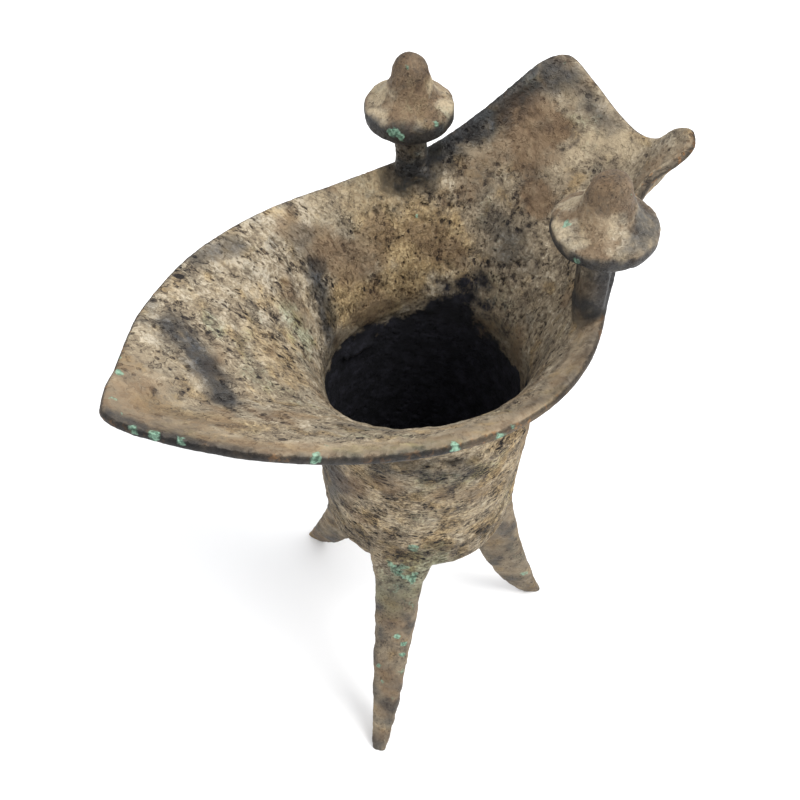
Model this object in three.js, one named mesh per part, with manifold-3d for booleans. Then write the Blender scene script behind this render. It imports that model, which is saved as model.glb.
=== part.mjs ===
// A bronze jue: three-legged wine cup with a spout, a pointed tail and two capped posts.
// Millimetres, +Z up. The spout points to +X, the tail to -X, the handle is on +Y.
// While it is built the cup axis is the Z axis; the finished part is centred on its bounding box.
import * as THREE from 'three';
import { mergeVertices } from 'three/addons/utils/BufferGeometryUtils.js';
import Module from 'manifold-3d';

const wasm = await Module();
wasm.setup();

const DEG = Math.PI / 180;

// Cup, measured to the middle of the wall
const cupRadiusTop = 30.1;
const cupRadiusLow = 26.2;
const cupLowZ = 69.6;
const cupBottomDepth = 12.2;
const throatZ = 116;
const wallAtCup = 2.3;
const wallAtRim = 2.5;

// Mouth rim, one side from the tail to the root of the spout, the same on both sides.
// x forward of the cup axis, y half width, z height, lean of the flare at the rim above level
const rimSide = [
  { x: -86.4, y: 17.2, z: 168.6, lean: 30 },
  { x: -65.8, y: 34.0, z: 162.8, lean: 30 },
  { x: -38.3, y: 47.2, z: 156.6, lean: 30 },
  { x: -10.8, y: 51.2, z: 152.4, lean: 32 },
  { x: 13.3, y: 46.2, z: 152.0, lean: 38 },
  { x: 33.9, y: 34.4, z: 160.4, lean: 60 },
];
// The tail tip stands a little toward +Y, with a station close by on each edge
const tail = [
  { x: -95.6, y: 8.8, z: 171.4, lean: 34 },
  { x: -99.0, y: 3.4, z: 172.8, lean: 38 },
  { x: -97.4, y: -2.4, z: 172.0, lean: 34 },
];

// Spout, from its root on +Y round the pouring lip to its root on -Y.
// The wall on -Y turns outward into a rounded ear, and the one on +Y stands up to a peak.
const spout = [
  { x: 54.5, y: 27.2, z: 171.9, lean: 76 },
  { x: 67.5, y: 24.8, z: 178.0, lean: 80 },
  { x: 73.2, y: 19.6, z: 179.4, lean: 60 },
  { x: 74.0, y: 9.8, z: 174.8, lean: 46 },
  { x: 74.2, y: 0.6, z: 169.6, lean: 40 },
  { x: 74.2, y: -7.8, z: 167.3, lean: 38 },
  { x: 74.2, y: -14.4, z: 169.6, lean: 40 },
  { x: 74.0, y: -19.4, z: 175.7, lean: 44 },
  { x: 72.4, y: -24.8, z: 178.8, lean: 46 },
  { x: 68.0, y: -28.7, z: 178.0, lean: 48 },
  { x: 62.4, y: -28.1, z: 175.6, lean: 54 },
  { x: 54.5, y: -25.8, z: 172.0, lean: 66 },
];

// The stations give the outer edge of the rim; the middle of the wall lies this far inside it
const rimInset = 1.3;

// How strongly the flare holds its direction at the throat, and at the rim where it is shallow or steep
const flareStart = 0.75;
const flareEndShallow = 0.98;
const flareEndSteep = 0.36;
const shallowLean = 32;
const steepLean = 80;
const spoutSpread = 16;
const spoutSpreadEnd = 70;
const flareEasing = 14;

const samplesPerStation = 4;
const bottomRows = 3;
const wallRows = 3;
const flareRows = 7;

// Posts: the centres of their caps, and how far the foot of each stands nearer the spout and further out
const postX = 25.4;
const postY = 34.4;
const postFootZ = 144;
const posts = [
  { side: 1, half: 4.7, forward: 3.0, out: 1.0, capFootZ: 172.7, capRadius: 0.93, capHeight: 1.02 },
  { side: -1, half: 5.4, forward: 0.4, out: 0.2, capFootZ: 175.1, capRadius: 1.03, capHeight: 1.0 },
];
const stemGrow = [0.96, 1.06, 1.0, 0.98];
const stemShift = [1.6, 1, 0.7, 0];
// A bell with a thick edge and a blunt nipple: radius and height
const capProfile = [
  [4.6, 0],
  [9.8, 0.3],
  [12.1, 1.2],
  [12.9, 2.8],
  [12.85, 5.0],
  [12.1, 6.2],
  [9.5, 7.6],
  [7.3, 9.6],
  [6.1, 12.4],
  [5.4, 15.8],
  [4.5, 18.6],
  [2.5, 20.5],
];
const capTop = 20.9;
const capSides = 22;

// Legs: bearing round the axis and radius of each foot
const legs = [
  { bearing: 90, foot: 47.0 },
  { bearing: -26, foot: 43.0 },
  { bearing: -145.6, foot: 47.7 },
];
// Leg stations from the root in the cup wall down to the foot: share of the way, width, depth
const legShape = [
  { at: 0.00, width: 25.0, depth: 16.0 },
  { at: 0.10, width: 19.6, depth: 16.0 },
  { at: 0.20, width: 14.4, depth: 15.4 },
  { at: 0.34, width: 12.4, depth: 14.4 },
  { at: 0.50, width: 10.8, depth: 13.0 },
  { at: 0.68, width: 8.8, depth: 11.0 },
  { at: 0.84, width: 6.8, depth: 8.2 },
  { at: 0.95, width: 5.0, depth: 5.6 },
  { at: 1.03, width: 4.0, depth: 4.2 },
];
const legTopRadius = 17.5;
const legTopZ = 79;
const legBendRadius = 26.5;
const legBendZ = 24;

// Strap handle on +Y, over one leg
const handleLowZ = 77;
const handleHighZ = 107;
const handleReach = 47.5;
const handleWidth = 12;
const handleThick = 4.2;

// Slivers smaller than this, left where the forms meet, are closed up
const shortestEdge = 0.02;

// A THREE geometry as a Manifold solid, and back
function toSolid(geometry) {
  const bare = geometry.clone();
  bare.deleteAttribute('normal');
  bare.deleteAttribute('uv');
  const welded = mergeVertices(bare, 1e-4);
  const solid = new wasm.Manifold(new wasm.Mesh({
    numProp: 3,
    vertProperties: new Float32Array(welded.attributes.position.array),
    triVerts: new Uint32Array(welded.index.array),
  }));
  if (solid.volume() <= 0) {
    throw new Error('a form is inside out');
  }
  return solid;
}

function toGeometry(solid) {
  const mesh = solid.getMesh();
  const geometry = new THREE.BufferGeometry();
  const count = mesh.vertProperties.length / mesh.numProp;
  const position = new Float32Array(count * 3);
  for (let i = 0; i < count; i += 1) {
    for (let k = 0; k < 3; k += 1) {
      position[3 * i + k] = mesh.vertProperties[mesh.numProp * i + k];
    }
  }
  geometry.setAttribute('position', new THREE.BufferAttribute(position, 3));
  geometry.setIndex(new THREE.BufferAttribute(new Uint32Array(mesh.triVerts), 1));
  geometry.computeVertexNormals();
  return geometry;
}

// Closed skin from rings of equal length, with a point closing each end
function skin(firstPoint, rings, lastPoint) {
  const around = rings[0].length;
  const position = [];
  const index = [];
  const put = (p) => position.push(p.x, p.y, p.z);
  put(firstPoint);
  rings.forEach((ring) => ring.forEach(put));
  put(lastPoint);
  const at = (row, k) => 1 + row * around + (k % around);
  const last = 1 + rings.length * around;
  for (let k = 0; k < around; k += 1) {
    index.push(0, at(0, k + 1), at(0, k));
    for (let row = 0; row + 1 < rings.length; row += 1) {
      index.push(at(row, k), at(row, k + 1), at(row + 1, k + 1));
      index.push(at(row, k), at(row + 1, k + 1), at(row + 1, k));
    }
    index.push(last, at(rings.length - 1, k), at(rings.length - 1, k + 1));
  }
  const geometry = new THREE.BufferGeometry();
  geometry.setAttribute('position', new THREE.Float32BufferAttribute(position, 3));
  geometry.setIndex(index);
  return geometry;
}

// The rim as one closed curve of stations, anticlockwise seen from above
function rimStations() {
  const plusSide = rimSide.slice().reverse();
  const minusSide = rimSide.map((s) => ({ ...s, y: -s.y }));
  return [...tail, ...minusSide, ...spout.slice().reverse(), ...plusSide];
}

function sampleRim() {
  const stations = rimStations();
  const place = new THREE.CatmullRomCurve3(
    stations.map((s) => new THREE.Vector3(s.x, s.y, s.z)), true, 'centripetal');
  const leans = new THREE.CatmullRomCurve3(
    stations.map((s) => new THREE.Vector3(s.lean, 0, 0)), true, 'catmullrom', 0.3);
  const count = stations.length * samplesPerStation;
  const samples = [];
  for (let i = 0; i < count; i += 1) {
    const u = i / count;
    const point = place.getPoint(u);
    const tangent = place.getTangent(u);
    const outward = new THREE.Vector3(tangent.y, -tangent.x, 0).normalize();
    point.addScaledVector(outward, -rimInset);
    samples.push({ point, outward, lean: leans.getPoint(u).x * DEG });
  }
  return samples;
}

// Bearing on the throat from which the flare runs to a rim point at the given bearing
function throatBearing(rimBearing) {
  const away = Math.abs(rimBearing) / DEG;
  const share = Math.min(away / spoutSpreadEnd, 1);
  return Math.sign(rimBearing) * (away + spoutSpread * Math.sin(Math.PI * share)) * DEG;
}

// Middle line of the wall for one rim sample, from near the axis at the bottom up to the rim
function wallLine(sample) {
  const rimBearing = Math.atan2(sample.point.y, sample.point.x);
  const bearing = throatBearing(rimBearing);
  const out = new THREE.Vector3(Math.cos(bearing), Math.sin(bearing), 0);
  const line = [];
  for (let i = 1; i <= bottomRows; i += 1) {
    const angle = (i / (bottomRows + 1)) * 90 * DEG;
    const point = out.clone().multiplyScalar(cupRadiusLow * Math.sin(angle));
    point.z = cupLowZ - cupBottomDepth * Math.cos(angle);
    line.push(point);
  }
  for (let i = 0; i < wallRows; i += 1) {
    const share = i / wallRows;
    const radius = cupRadiusLow + (cupRadiusTop - cupRadiusLow) * share;
    const point = out.clone().multiplyScalar(radius);
    point.z = cupLowZ + (throatZ - cupLowZ) * share;
    line.push(point);
  }
  const start = out.clone().multiplyScalar(cupRadiusTop);
  start.z = throatZ;
  const span = sample.point.distanceTo(start);
  const radial = new THREE.Vector3(sample.point.x, sample.point.y, 0).normalize();
  const rise = Math.max(0, Math.sin(sample.lean) - 0.5) * 2;
  const level = radial.lerp(sample.outward, Math.min(rise, 1)).normalize();
  const steepness = (sample.lean / DEG - shallowLean) / (steepLean - shallowLean);
  const flareEnd = flareEndShallow + (flareEndSteep - flareEndShallow) * Math.max(steepness, 0);
  const startPull = new THREE.Vector3(0, 0, flareStart * span);
  const endPull = level.multiplyScalar(Math.cos(sample.lean));
  endPull.z = Math.sin(sample.lean);
  endPull.multiplyScalar(flareEnd * span);
  for (let i = 0; i <= flareRows; i += 1) {
    const t = i / flareRows;
    const point = start.clone().multiplyScalar(2 * t ** 3 - 3 * t ** 2 + 1);
    point.addScaledVector(startPull, t ** 3 - 2 * t ** 2 + t);
    point.addScaledVector(sample.point, -2 * t ** 3 + 3 * t ** 2);
    point.addScaledVector(endPull, t ** 3 - t ** 2);
    line.push(point);
  }
  return line;
}

// Evens a ring of the flare out along its length, less and less toward the rim
function easeRound(ring, row, rows) {
  const firstFlareRow = bottomRows + wallRows;
  const share = (rows - 1 - row) / (rows - 1 - firstFlareRow);
  const passes = share > 1 ? 0 : Math.round(flareEasing * Math.sqrt(share));
  const around = ring.length;
  let eased = ring;
  for (let pass = 0; pass < passes; pass += 1) {
    eased = eased.map((point, k) => {
      const middle = eased[(k + 1) % around].clone().add(eased[(k + around - 1) % around]);
      return point.clone().lerp(middle.multiplyScalar(0.5), 0.5);
    });
  }
  return eased;
}

// Rings of the middle surface with their outward normals
function middleSurface() {
  const lines = sampleRim().map(wallLine);
  const around = lines.length;
  const rows = lines[0].length;
  const rings = [];
  for (let row = 0; row < rows; row += 1) {
    rings.push(easeRound(lines.map((line) => line[row]), row, rows));
  }
  const normals = rings.map((ring, row) => ring.map((point, k) => {
    const above = rings[Math.min(row + 1, rows - 1)][k];
    const below = rings[Math.max(row - 1, 0)][k];
    const next = ring[(k + 1) % around];
    const previous = ring[(k + around - 1) % around];
    const up = above.clone().sub(below);
    return next.clone().sub(previous).cross(up).normalize();
  }));
  return { rings, normals };
}

function offsetRings(surface, side) {
  const rows = surface.rings.length;
  return surface.rings.map((ring, row) => {
    const wall = wallAtCup + (wallAtRim - wallAtCup) * (row / (rows - 1));
    return ring.map((point, k) => point.clone().addScaledVector(surface.normals[row][k], side * wall / 2));
  });
}

function vesselShell(surface) {
  const outer = offsetRings(surface, 1);
  const inner = offsetRings(surface, -1).reverse();
  const rows = surface.rings.length;
  const edge = surface.rings[rows - 1].map((point, k) => {
    const outward = point.clone().sub(surface.rings[rows - 2][k]).normalize();
    return point.clone().addScaledVector(outward, 0.35 * wallAtRim);
  });
  const bottomZ = cupLowZ - cupBottomDepth;
  return toSolid(skin(
    new THREE.Vector3(0, 0, bottomZ - wallAtCup / 2),
    [...outer, edge, ...inner],
    new THREE.Vector3(0, 0, bottomZ + wallAtCup / 2),
  ));
}

// Everything inside the middle surface, carried straight up above the rim
function insideFill(surface) {
  const top = 240;
  const rim = surface.rings[surface.rings.length - 1];
  const lid = rim.map((point) => new THREE.Vector3(point.x, point.y, top));
  return toSolid(skin(
    new THREE.Vector3(0, 0, cupLowZ - cupBottomDepth),
    [...surface.rings, lid],
    new THREE.Vector3(0, 0, top),
  ));
}

// Three-cornered blade section, flat side outward, corners eased
function legSection(width, depth) {
  const half = width / 2;
  return [
    [-half, 0.30 * depth],
    [-0.82 * half, 0.02 * depth],
    [-0.24 * half, -0.46 * depth],
    [0.24 * half, -0.46 * depth],
    [0.82 * half, 0.02 * depth],
    [half, 0.30 * depth],
    [0.84 * half, 0.50 * depth],
    [-0.84 * half, 0.50 * depth],
  ];
}

function leg(spec) {
  const path = new THREE.QuadraticBezierCurve3(
    new THREE.Vector3(legTopRadius, 0, legTopZ),
    new THREE.Vector3(legBendRadius, 0, legBendZ),
    new THREE.Vector3(spec.foot, 0, 0),
  );
  const bearing = spec.bearing * DEG;
  const radial = new THREE.Vector3(Math.cos(bearing), Math.sin(bearing), 0);
  const across = new THREE.Vector3(-Math.sin(bearing), Math.cos(bearing), 0);
  const turn = (p) => radial.clone().multiplyScalar(p.x).setZ(p.z);
  const rings = [];
  const centres = [];
  legShape.forEach((station) => {
    const t = Math.min(station.at, 1);
    const centre = path.getPoint(t);
    const along = path.getTangent(t);
    centre.addScaledVector(along, (station.at - t) * legTopZ);
    const outward = new THREE.Vector3(-along.z, 0, along.x);
    const ring = legSection(station.width, station.depth).map(([side, out]) => {
      const point = turn(centre.clone().addScaledVector(outward, out));
      return point.addScaledVector(across, side);
    });
    rings.push(ring);
    centres.push(turn(centre));
  });
  return toSolid(skin(centres[0], rings, centres[centres.length - 1]));
}

function postStem(post) {
  const rows = [postFootZ, 154, 161, post.capFootZ + 2];
  const rings = rows.map((z, row) => {
    const ring = [];
    for (let k = 0; k < 12; k += 1) {
      const angle = k * 30 * DEG;
      const square = 1 + 0.06 * Math.cos(4 * angle);
      const radius = post.half * stemGrow[row] * square;
      const x = postX + post.forward * stemShift[row];
      const y = post.side * (postY + post.out * stemShift[row]);
      ring.push(new THREE.Vector3(x + radius * Math.cos(angle), y + radius * Math.sin(angle), z));
    }
    return ring;
  });
  const middle = (ring) => {
    const sum = new THREE.Vector3();
    ring.forEach((point) => sum.add(point));
    return sum.divideScalar(ring.length);
  };
  return toSolid(skin(middle(rings[0]), rings, middle(rings[rings.length - 1])));
}

function postCap(post) {
  const outline = [[0, 0], ...capProfile, [0, capTop]];
  const points = outline.map(([r, z]) => new THREE.Vector2(r * post.capRadius, z * post.capHeight));
  const lathe = new THREE.LatheGeometry(points, capSides);
  lathe.rotateX(Math.PI / 2);
  lathe.translate(postX, post.side * postY, post.capFootZ);
  return toSolid(lathe);
}

function handle() {
  const wallY = cupRadiusLow - 0.5;
  const path = new THREE.CatmullRomCurve3([
    new THREE.Vector3(0, wallY, handleLowZ),
    new THREE.Vector3(0, wallY + 9, handleLowZ + 1),
    new THREE.Vector3(0, handleReach - handleThick / 2, handleLowZ + 10),
    new THREE.Vector3(0, handleReach - handleThick / 2, handleHighZ - 9),
    new THREE.Vector3(0, wallY + 11, handleHighZ - 0.5),
    new THREE.Vector3(0, wallY, handleHighZ),
  ], false, 'catmullrom', 0.5);
  const steps = 14;
  const rings = [];
  for (let i = 0; i <= steps; i += 1) {
    const centre = path.getPoint(i / steps);
    const along = path.getTangent(i / steps);
    const out = new THREE.Vector3(0, along.z, -along.y);
    const half = handleWidth / 2;
    const thick = handleThick / 2;
    rings.push([
      [-half, -0.6 * thick], [-0.8 * half, -thick], [0.8 * half, -thick], [half, -0.6 * thick],
      [half, 0.3 * thick], [0.7 * half, thick], [-0.7 * half, thick], [-half, 0.3 * thick],
    ].map(([side, o]) => centre.clone().addScaledVector(out, o).add(new THREE.Vector3(side, 0, 0))));
  }
  return toSolid(skin(path.getPoint(0), rings, path.getPoint(1)));
}

function bronzeJue() {
  const surface = middleSurface();
  const fill = insideFill(surface);
  let fromOutside = handle();
  legs.forEach((spec) => {
    fromOutside = fromOutside.add(leg(spec));
  });
  const belowFloor = toSolid(new THREE.BoxGeometry(400, 400, 40).translate(0, 0, -20));
  fromOutside = fromOutside.subtract(fill).subtract(belowFloor);
  let solid = vesselShell(surface).add(fromOutside);
  posts.forEach((post) => {
    solid = solid.add(postStem(post).intersect(fill)).add(postCap(post));
  });
  return solid.simplify(shortestEdge);
}

function centred(geometry) {
  geometry.computeBoundingBox();
  const box = geometry.boundingBox;
  geometry.translate(-(box.min.x + box.max.x) / 2, -(box.min.y + box.max.y) / 2, -box.min.z);
  return geometry;
}

const group = new THREE.Group();
const bronze = new THREE.MeshStandardMaterial({ color: 0x7a6a50, roughness: 0.8, metalness: 0.5 });
const jue = new THREE.Mesh(centred(toGeometry(bronzeJue())), bronze);
jue.name = 'bronze_jue';
group.add(jue);

export default group;
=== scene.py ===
import math
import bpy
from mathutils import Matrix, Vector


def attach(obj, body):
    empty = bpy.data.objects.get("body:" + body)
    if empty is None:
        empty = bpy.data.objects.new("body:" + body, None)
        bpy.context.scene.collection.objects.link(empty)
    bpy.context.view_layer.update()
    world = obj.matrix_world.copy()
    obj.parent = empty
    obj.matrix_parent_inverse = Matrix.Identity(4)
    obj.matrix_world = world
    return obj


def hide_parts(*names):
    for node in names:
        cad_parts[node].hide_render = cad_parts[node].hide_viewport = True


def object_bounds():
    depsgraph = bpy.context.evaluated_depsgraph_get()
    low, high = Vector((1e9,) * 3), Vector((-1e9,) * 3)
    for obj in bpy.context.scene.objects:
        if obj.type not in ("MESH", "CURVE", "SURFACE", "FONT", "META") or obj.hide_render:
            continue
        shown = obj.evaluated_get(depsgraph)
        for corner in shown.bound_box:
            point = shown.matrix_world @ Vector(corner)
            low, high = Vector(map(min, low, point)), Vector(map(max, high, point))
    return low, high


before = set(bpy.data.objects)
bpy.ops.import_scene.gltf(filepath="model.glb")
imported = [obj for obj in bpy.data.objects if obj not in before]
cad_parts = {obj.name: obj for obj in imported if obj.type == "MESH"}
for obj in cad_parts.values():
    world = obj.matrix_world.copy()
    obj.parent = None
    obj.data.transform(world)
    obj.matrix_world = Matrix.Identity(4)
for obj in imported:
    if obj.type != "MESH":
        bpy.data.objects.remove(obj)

from types import SimpleNamespace

import bmesh
import bpy
import numpy as np
from mathutils import Matrix, Vector, kdtree

# An ancient bronze jue under a sandy crust. The form is worked out in millimetres round the
# cup's own axis, which stands AXIS_X toward the spout from the middle of the box.
cad_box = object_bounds()
MM = 0.001
AXIS_X = 12.392
DEG = math.pi / 180
UP = np.array([0, 0, 1.0])

# Cup, to the middle of the wall
CUP_RADIUS_TOP = 30.1
CUP_RADIUS_LOW = 26.2
CUP_LOW_Z = 69.6
CUP_BOTTOM_DEPTH = 12.2
CUP_BOTTOM_Z = CUP_LOW_Z - CUP_BOTTOM_DEPTH
THROAT_Z = 116
WALL_CUP = 2.3
WALL_RIM = 2.5

# Rim stations: x, half width, height, lean of the flare at the rim
TAIL = [(-95.6, 8.8, 171.4, 34), (-99, 3.4, 172.8, 38), (-97.4, -2.4, 172, 34)]
RIM_SIDE = [
    (-86.4, 17.2, 168.6, 30), (-65.8, 34, 162.8, 30), (-38.3, 47.2, 156.6, 30),
    (-10.8, 51.2, 152.4, 32), (13.3, 46.2, 152, 38), (33.9, 34.4, 160.4, 60),
]
SPOUT = [
    (54.5, 27.2, 171.9, 76), (67.5, 24.8, 178, 80), (73.2, 19.6, 179.4, 60),
    (74, 9.8, 174.8, 46), (74.2, 0.6, 169.6, 40), (74.2, -7.8, 167.3, 38),
    (74.2, -14.4, 169.6, 40), (74, -19.4, 175.7, 44), (72.4, -24.8, 178.8, 46),
    (68, -28.7, 178, 48), (62.4, -28.1, 175.6, 54), (54.5, -25.8, 172, 66),
]
RIM_INSET = 1.3
FLARE_START = 0.75
FLARE_END_SHALLOW = 0.98
FLARE_END_STEEP = 0.36
SHALLOW_LEAN = 32
STEEP_LEAN = 80
SPOUT_SPREAD = 16
SPOUT_SPREAD_END = 70
FLARE_EASING = 14
COARSE_PER_STATION = 4

# Points per rim station, and rows over the bottom, wall and flare
SKIN_PER_STATION = 20
SKIN_ROWS = (14, 30, 56)
CUTTER_PER_STATION = 8
CUTTER_ROWS = (6, 6, 16)
CUTTER_TOP_Z = 240

# Rounded edge of the rim: angles across it, half width, taper, and how far it stands out
EDGE_ANGLES = (50, 70, 90, 110, 130)
EDGE_HALF = 0.46
EDGE_TAPER = 0.85
EDGE_OUT = 0.35
EDGE_START = 0.55
EDGE_SPAN = 0.45

# Posts: side, half width of the stem, shift of its foot forward and out, and its cap's height, width and rise
POST_X = 25.4
POST_Y = 34.4
POSTS = [(1, 4.7, 3, 1, 172.7, 0.93, 1.02), (-1, 5.4, 0.4, 0.2, 175.1, 1.03, 1)]
# Stem rows: height, share of the half width, share of the shift
STEM_ROWS = [(144, 0.96, 1.6), (154, 1.06, 1), (161, 1, 0.7)]
STEM_TOP_GROW = 0.98
STEM_IN_CAP = 2
STEM_SIDES = 48
STEM_STEPS = 24
STEM_SQUARENESS = 0.06
CAP_SIDES = 90
CAP_STEPS = 90
SMALLEST_RADIUS = 0.05
# Cap profile: radius and height
CAP_PROFILE = [
    (0, 0), (4.6, 0), (9.8, 0.3), (12.1, 1.2), (12.9, 2.8), (12.85, 5), (12.1, 6.2), (9.5, 7.6),
    (7.3, 9.6), (6.1, 12.4), (5.4, 15.8), (4.5, 18.6), (2.5, 20.5), (0, 20.9),
]

# Legs: bearing and foot radius, then share of the way, width and depth
LEGS = [(90, 47), (-26, 43), (-145.6, 47.7)]
LEG_SHAPE = [
    (0.0, 25, 16), (0.1, 19.6, 16), (0.2, 14.4, 15.4), (0.34, 12.4, 14.4),
    (0.5, 10.8, 13), (0.68, 8.8, 11), (0.84, 6.8, 8.2), (0.95, 5, 5.6), (1.03, 4, 4.2),
]
LEG_TOP = (17.5, 79)
LEG_BEND = (26.5, 24)
LEG_STEPS = 60

# Corners of the leg's blade, in shares of half its width and of its depth, flat side outward
LEG_CORNERS = [
    (-1, 0.3), (-0.82, 0.02), (-0.24, -0.46), (0.24, -0.46),
    (0.82, 0.02), (1, 0.3), (0.84, 0.5), (-0.84, 0.5),
]
LEG_PER_CORNER = 4

# Strap handle on +Y
HANDLE_LOW_Z = 77
HANDLE_HIGH_Z = 107
HANDLE_REACH = 47.5
HANDLE_WIDTH = 12
HANDLE_THICK = 4.2
HANDLE_ROOT = 0.5
HANDLE_STEPS = 60

# Corners of the strap, in shares of half its width and half its thickness
HANDLE_CORNERS = [(-1, -0.6), (-0.8, -1), (0.8, -1), (1, -0.6), (1, 0.3), (0.7, 1), (-0.7, 1), (-1, 0.3)]
HANDLE_PER_CORNER = 3

# Size of the cells that run the forms together, and easing of the steps that they leave
VOXEL = 0.62
RELAX_ROUNDS = 5
RELAX_PULL = 0.5
RELAX_PUSH = -0.52
MOST_TRIANGLES = 194000
BOX_MARGIN = 0.01

# Rim samples for the distance to its edge, and the lowest height at which that matters
RIM_SAMPLES = 40
RIM_LOWEST = 144
RIM_REACH = 14

# Heights of the relief, in millimetres
PLATE_HEIGHT = 0.28
PIT_DEPTH = 0.35
MINT_HEIGHT = 0.16
PALE_HEIGHT = 0.22
LINE_HEIGHT = 0.3
LINE_WIDTH = 0.6
LINE_LEVELS = (76.5, 80, 97)

# Crust: its share over all, what each zone adds, and its share on the caps
CRUST_BASE = 0.66
CRUST_ADDED = dict(tail_half=0.1, far_half=0.08, outside_cup=0.12, far_wall=0.3,
                   spout_root=-0.1, leg=-0.24, low_band=-0.15, tip=-0.24)
CAP_CRUST_BASE = 0.38
CAP_CRUST_ADDED = dict(skirt=0.52, nipple=0.02)

# Zones darkened with the film tint: the stems of dark bronze, a low band on the cup, the caps' undersides as
# dark bronze with painted shade, and painted shade on the wall behind the handle; then zones with dark
# blotches, and with smooth brown
DARK_AND_SHADE_ZONES = dict(stem=0.6, near_stem=0.92, under_cap=0.85, low_band=0.36, behind_handle=0.55)
BLOTCHED_ZONES = dict(leg=0.74, nipple=0.3)
BROWN_ZONES = dict(brown_patch=1, nipple=0.62, tip=0.45)

# Zones where fine detail is calm, and zones where it is livelier
CALM_ZONES = dict(leg=0.75, near_lip=0.9, tip=0.8, spout=0.4, cap=0.1, brown_patch=0.7, flare_outside=0.5)
LIVELY_ZONES = dict(cup_skin=0.9, far_mouth=0.35)

# Share of a mint spot's size that its patch reaches
MINT_REACH = 0.62


def smooth(low, high, value):
    share = np.clip((value - low) / (high - low), 0, 1)
    return share * share * (3 - 2 * share)


def unit(vectors):
    length = np.linalg.norm(vectors, axis=-1, keepdims=True)
    return vectors / np.maximum(length, 1e-9)


# Seeded gradient noise over points in millimetres
class Noise:
    def __init__(self, seed):
        generator = np.random.default_rng(seed)
        self.order = generator.permutation(256)
        self.slopes = unit(generator.normal(size=(256, 3)))

    def __call__(self, points, size):
        scaled = points / size
        cell = np.floor(scaled).astype(np.int64)
        inner = scaled - cell
        ease = inner ** 3 * (inner * (inner * 6 - 15) + 10)
        total = np.zeros(len(points))
        for corner in range(8):
            step = np.array([corner & 1, corner >> 1 & 1, corner >> 2 & 1])
            key = (cell + step) & 255
            index = self.order[(self.order[(self.order[key[:, 0]] + key[:, 1]) & 255] + key[:, 2]) & 255]
            dot = np.sum(self.slopes[index] * (inner - step), axis=1)
            weight = np.prod(np.where(step == 1, ease, 1 - ease), axis=1)
            total += weight * dot
        return total

    def layered(self, points, size, layers):
        total = np.zeros(len(points))
        strength = 1.0
        for layer in range(layers):
            total += strength * self(points + 31.7 * layer, size)
            strength *= 0.5
            size *= 0.5
        return total


# Cubic from one value to the next, with its slope at both
def cubic(b, c, t1, t2, w):
    return b + t1 * w + (-3 * b + 3 * c - 2 * t1 - t2) * w ** 2 + (2 * b - 2 * c + t1 + t2) * w ** 3


# Catmull-Rom through closed stations, spaced by the root of their distance
def closed_curve(stations, per_station):
    points = np.array(stations, dtype=float)
    count = len(points)
    gaps = [max(np.linalg.norm(points[(i + 1) % count] - points[i]) ** 0.5, 1e-4) for i in range(count)]
    result = []
    for i in range(count):
        a, b, c, d = (points[(i + k) % count] for k in (-1, 0, 1, 2))
        g0, g1, g2 = gaps[i - 1], gaps[i], gaps[(i + 1) % count]
        t1 = ((b - a) / g0 - (c - a) / (g0 + g1) + (c - b) / g1) * g1
        t2 = ((c - b) / g1 - (d - b) / (g1 + g2) + (d - c) / g2) * g1
        result += [cubic(b, c, t1, t2, step / per_station) for step in range(per_station)]
    return np.array(result)


def closed_values(values, per_station):
    count = len(values)
    result = []
    for i in range(count):
        a, b, c, d = (values[(i + k) % count] for k in (-1, 0, 1, 2))
        t1 = 0.3 * (c - a)
        t2 = 0.3 * (d - b)
        result += [cubic(b, c, t1, t2, step / per_station) for step in range(per_station)]
    return np.array(result)


# Smooth open curve through rows of values, at the given shares
def through(rows, shares):
    rows = np.array(rows, dtype=float)
    place = np.clip(shares, 0, 1) * (len(rows) - 1)
    index = np.minimum(place.astype(int), len(rows) - 2)
    w = (place - index)[:, None]
    before = rows[np.maximum(index - 1, 0)]
    start = rows[index]
    end = rows[index + 1]
    after = rows[np.minimum(index + 2, len(rows) - 1)]
    return cubic(start, end, 0.5 * (end - before), 0.5 * (after - start), w)


# Closed skin over rings of equal length, with a point closing each end
def skin(first, rings, last):
    rings = np.array(rings)
    rows, around = rings.shape[:2]
    points = np.vstack([np.array(first)[None], rings.reshape(-1, 3), np.array(last)[None]])
    faces = []
    end = 1 + rows * around
    for k in range(around):
        after = (k + 1) % around
        faces.append((0, 1 + after, 1 + k))
        faces.append((end, 1 + (rows - 1) * around + k, 1 + (rows - 1) * around + after))
    for row in range(rows - 1):
        low = 1 + row * around
        high = low + around
        for k in range(around):
            after = (k + 1) % around
            faces.append((low + k, low + after, high + after, high + k))
    return points, faces


def rim_line(per_station):
    plus = list(reversed(RIM_SIDE))
    minus = [(x, -y, z, lean) for x, y, z, lean in RIM_SIDE]
    stations = TAIL + minus + list(reversed(SPOUT)) + plus
    points = closed_curve([s[:3] for s in stations], per_station)
    leans = closed_values([s[3] for s in stations], per_station) * DEG
    along = np.roll(points, -1, axis=0) - np.roll(points, 1, axis=0)
    outward = unit(np.stack([along[:, 1], -along[:, 0], np.zeros(len(along))], axis=1))
    return points - RIM_INSET * outward, outward, leans


# Evens a ring out along its length by a blur of the given reach
def blur_ring(ring, reach):
    if reach <= 0:
        return ring
    waves = np.fft.rfftfreq(len(ring))
    keep = np.exp(-2 * (math.pi * reach * waves) ** 2)
    return np.fft.irfft(np.fft.rfft(ring, axis=0) * keep[:, None], n=len(ring), axis=0)


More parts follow.
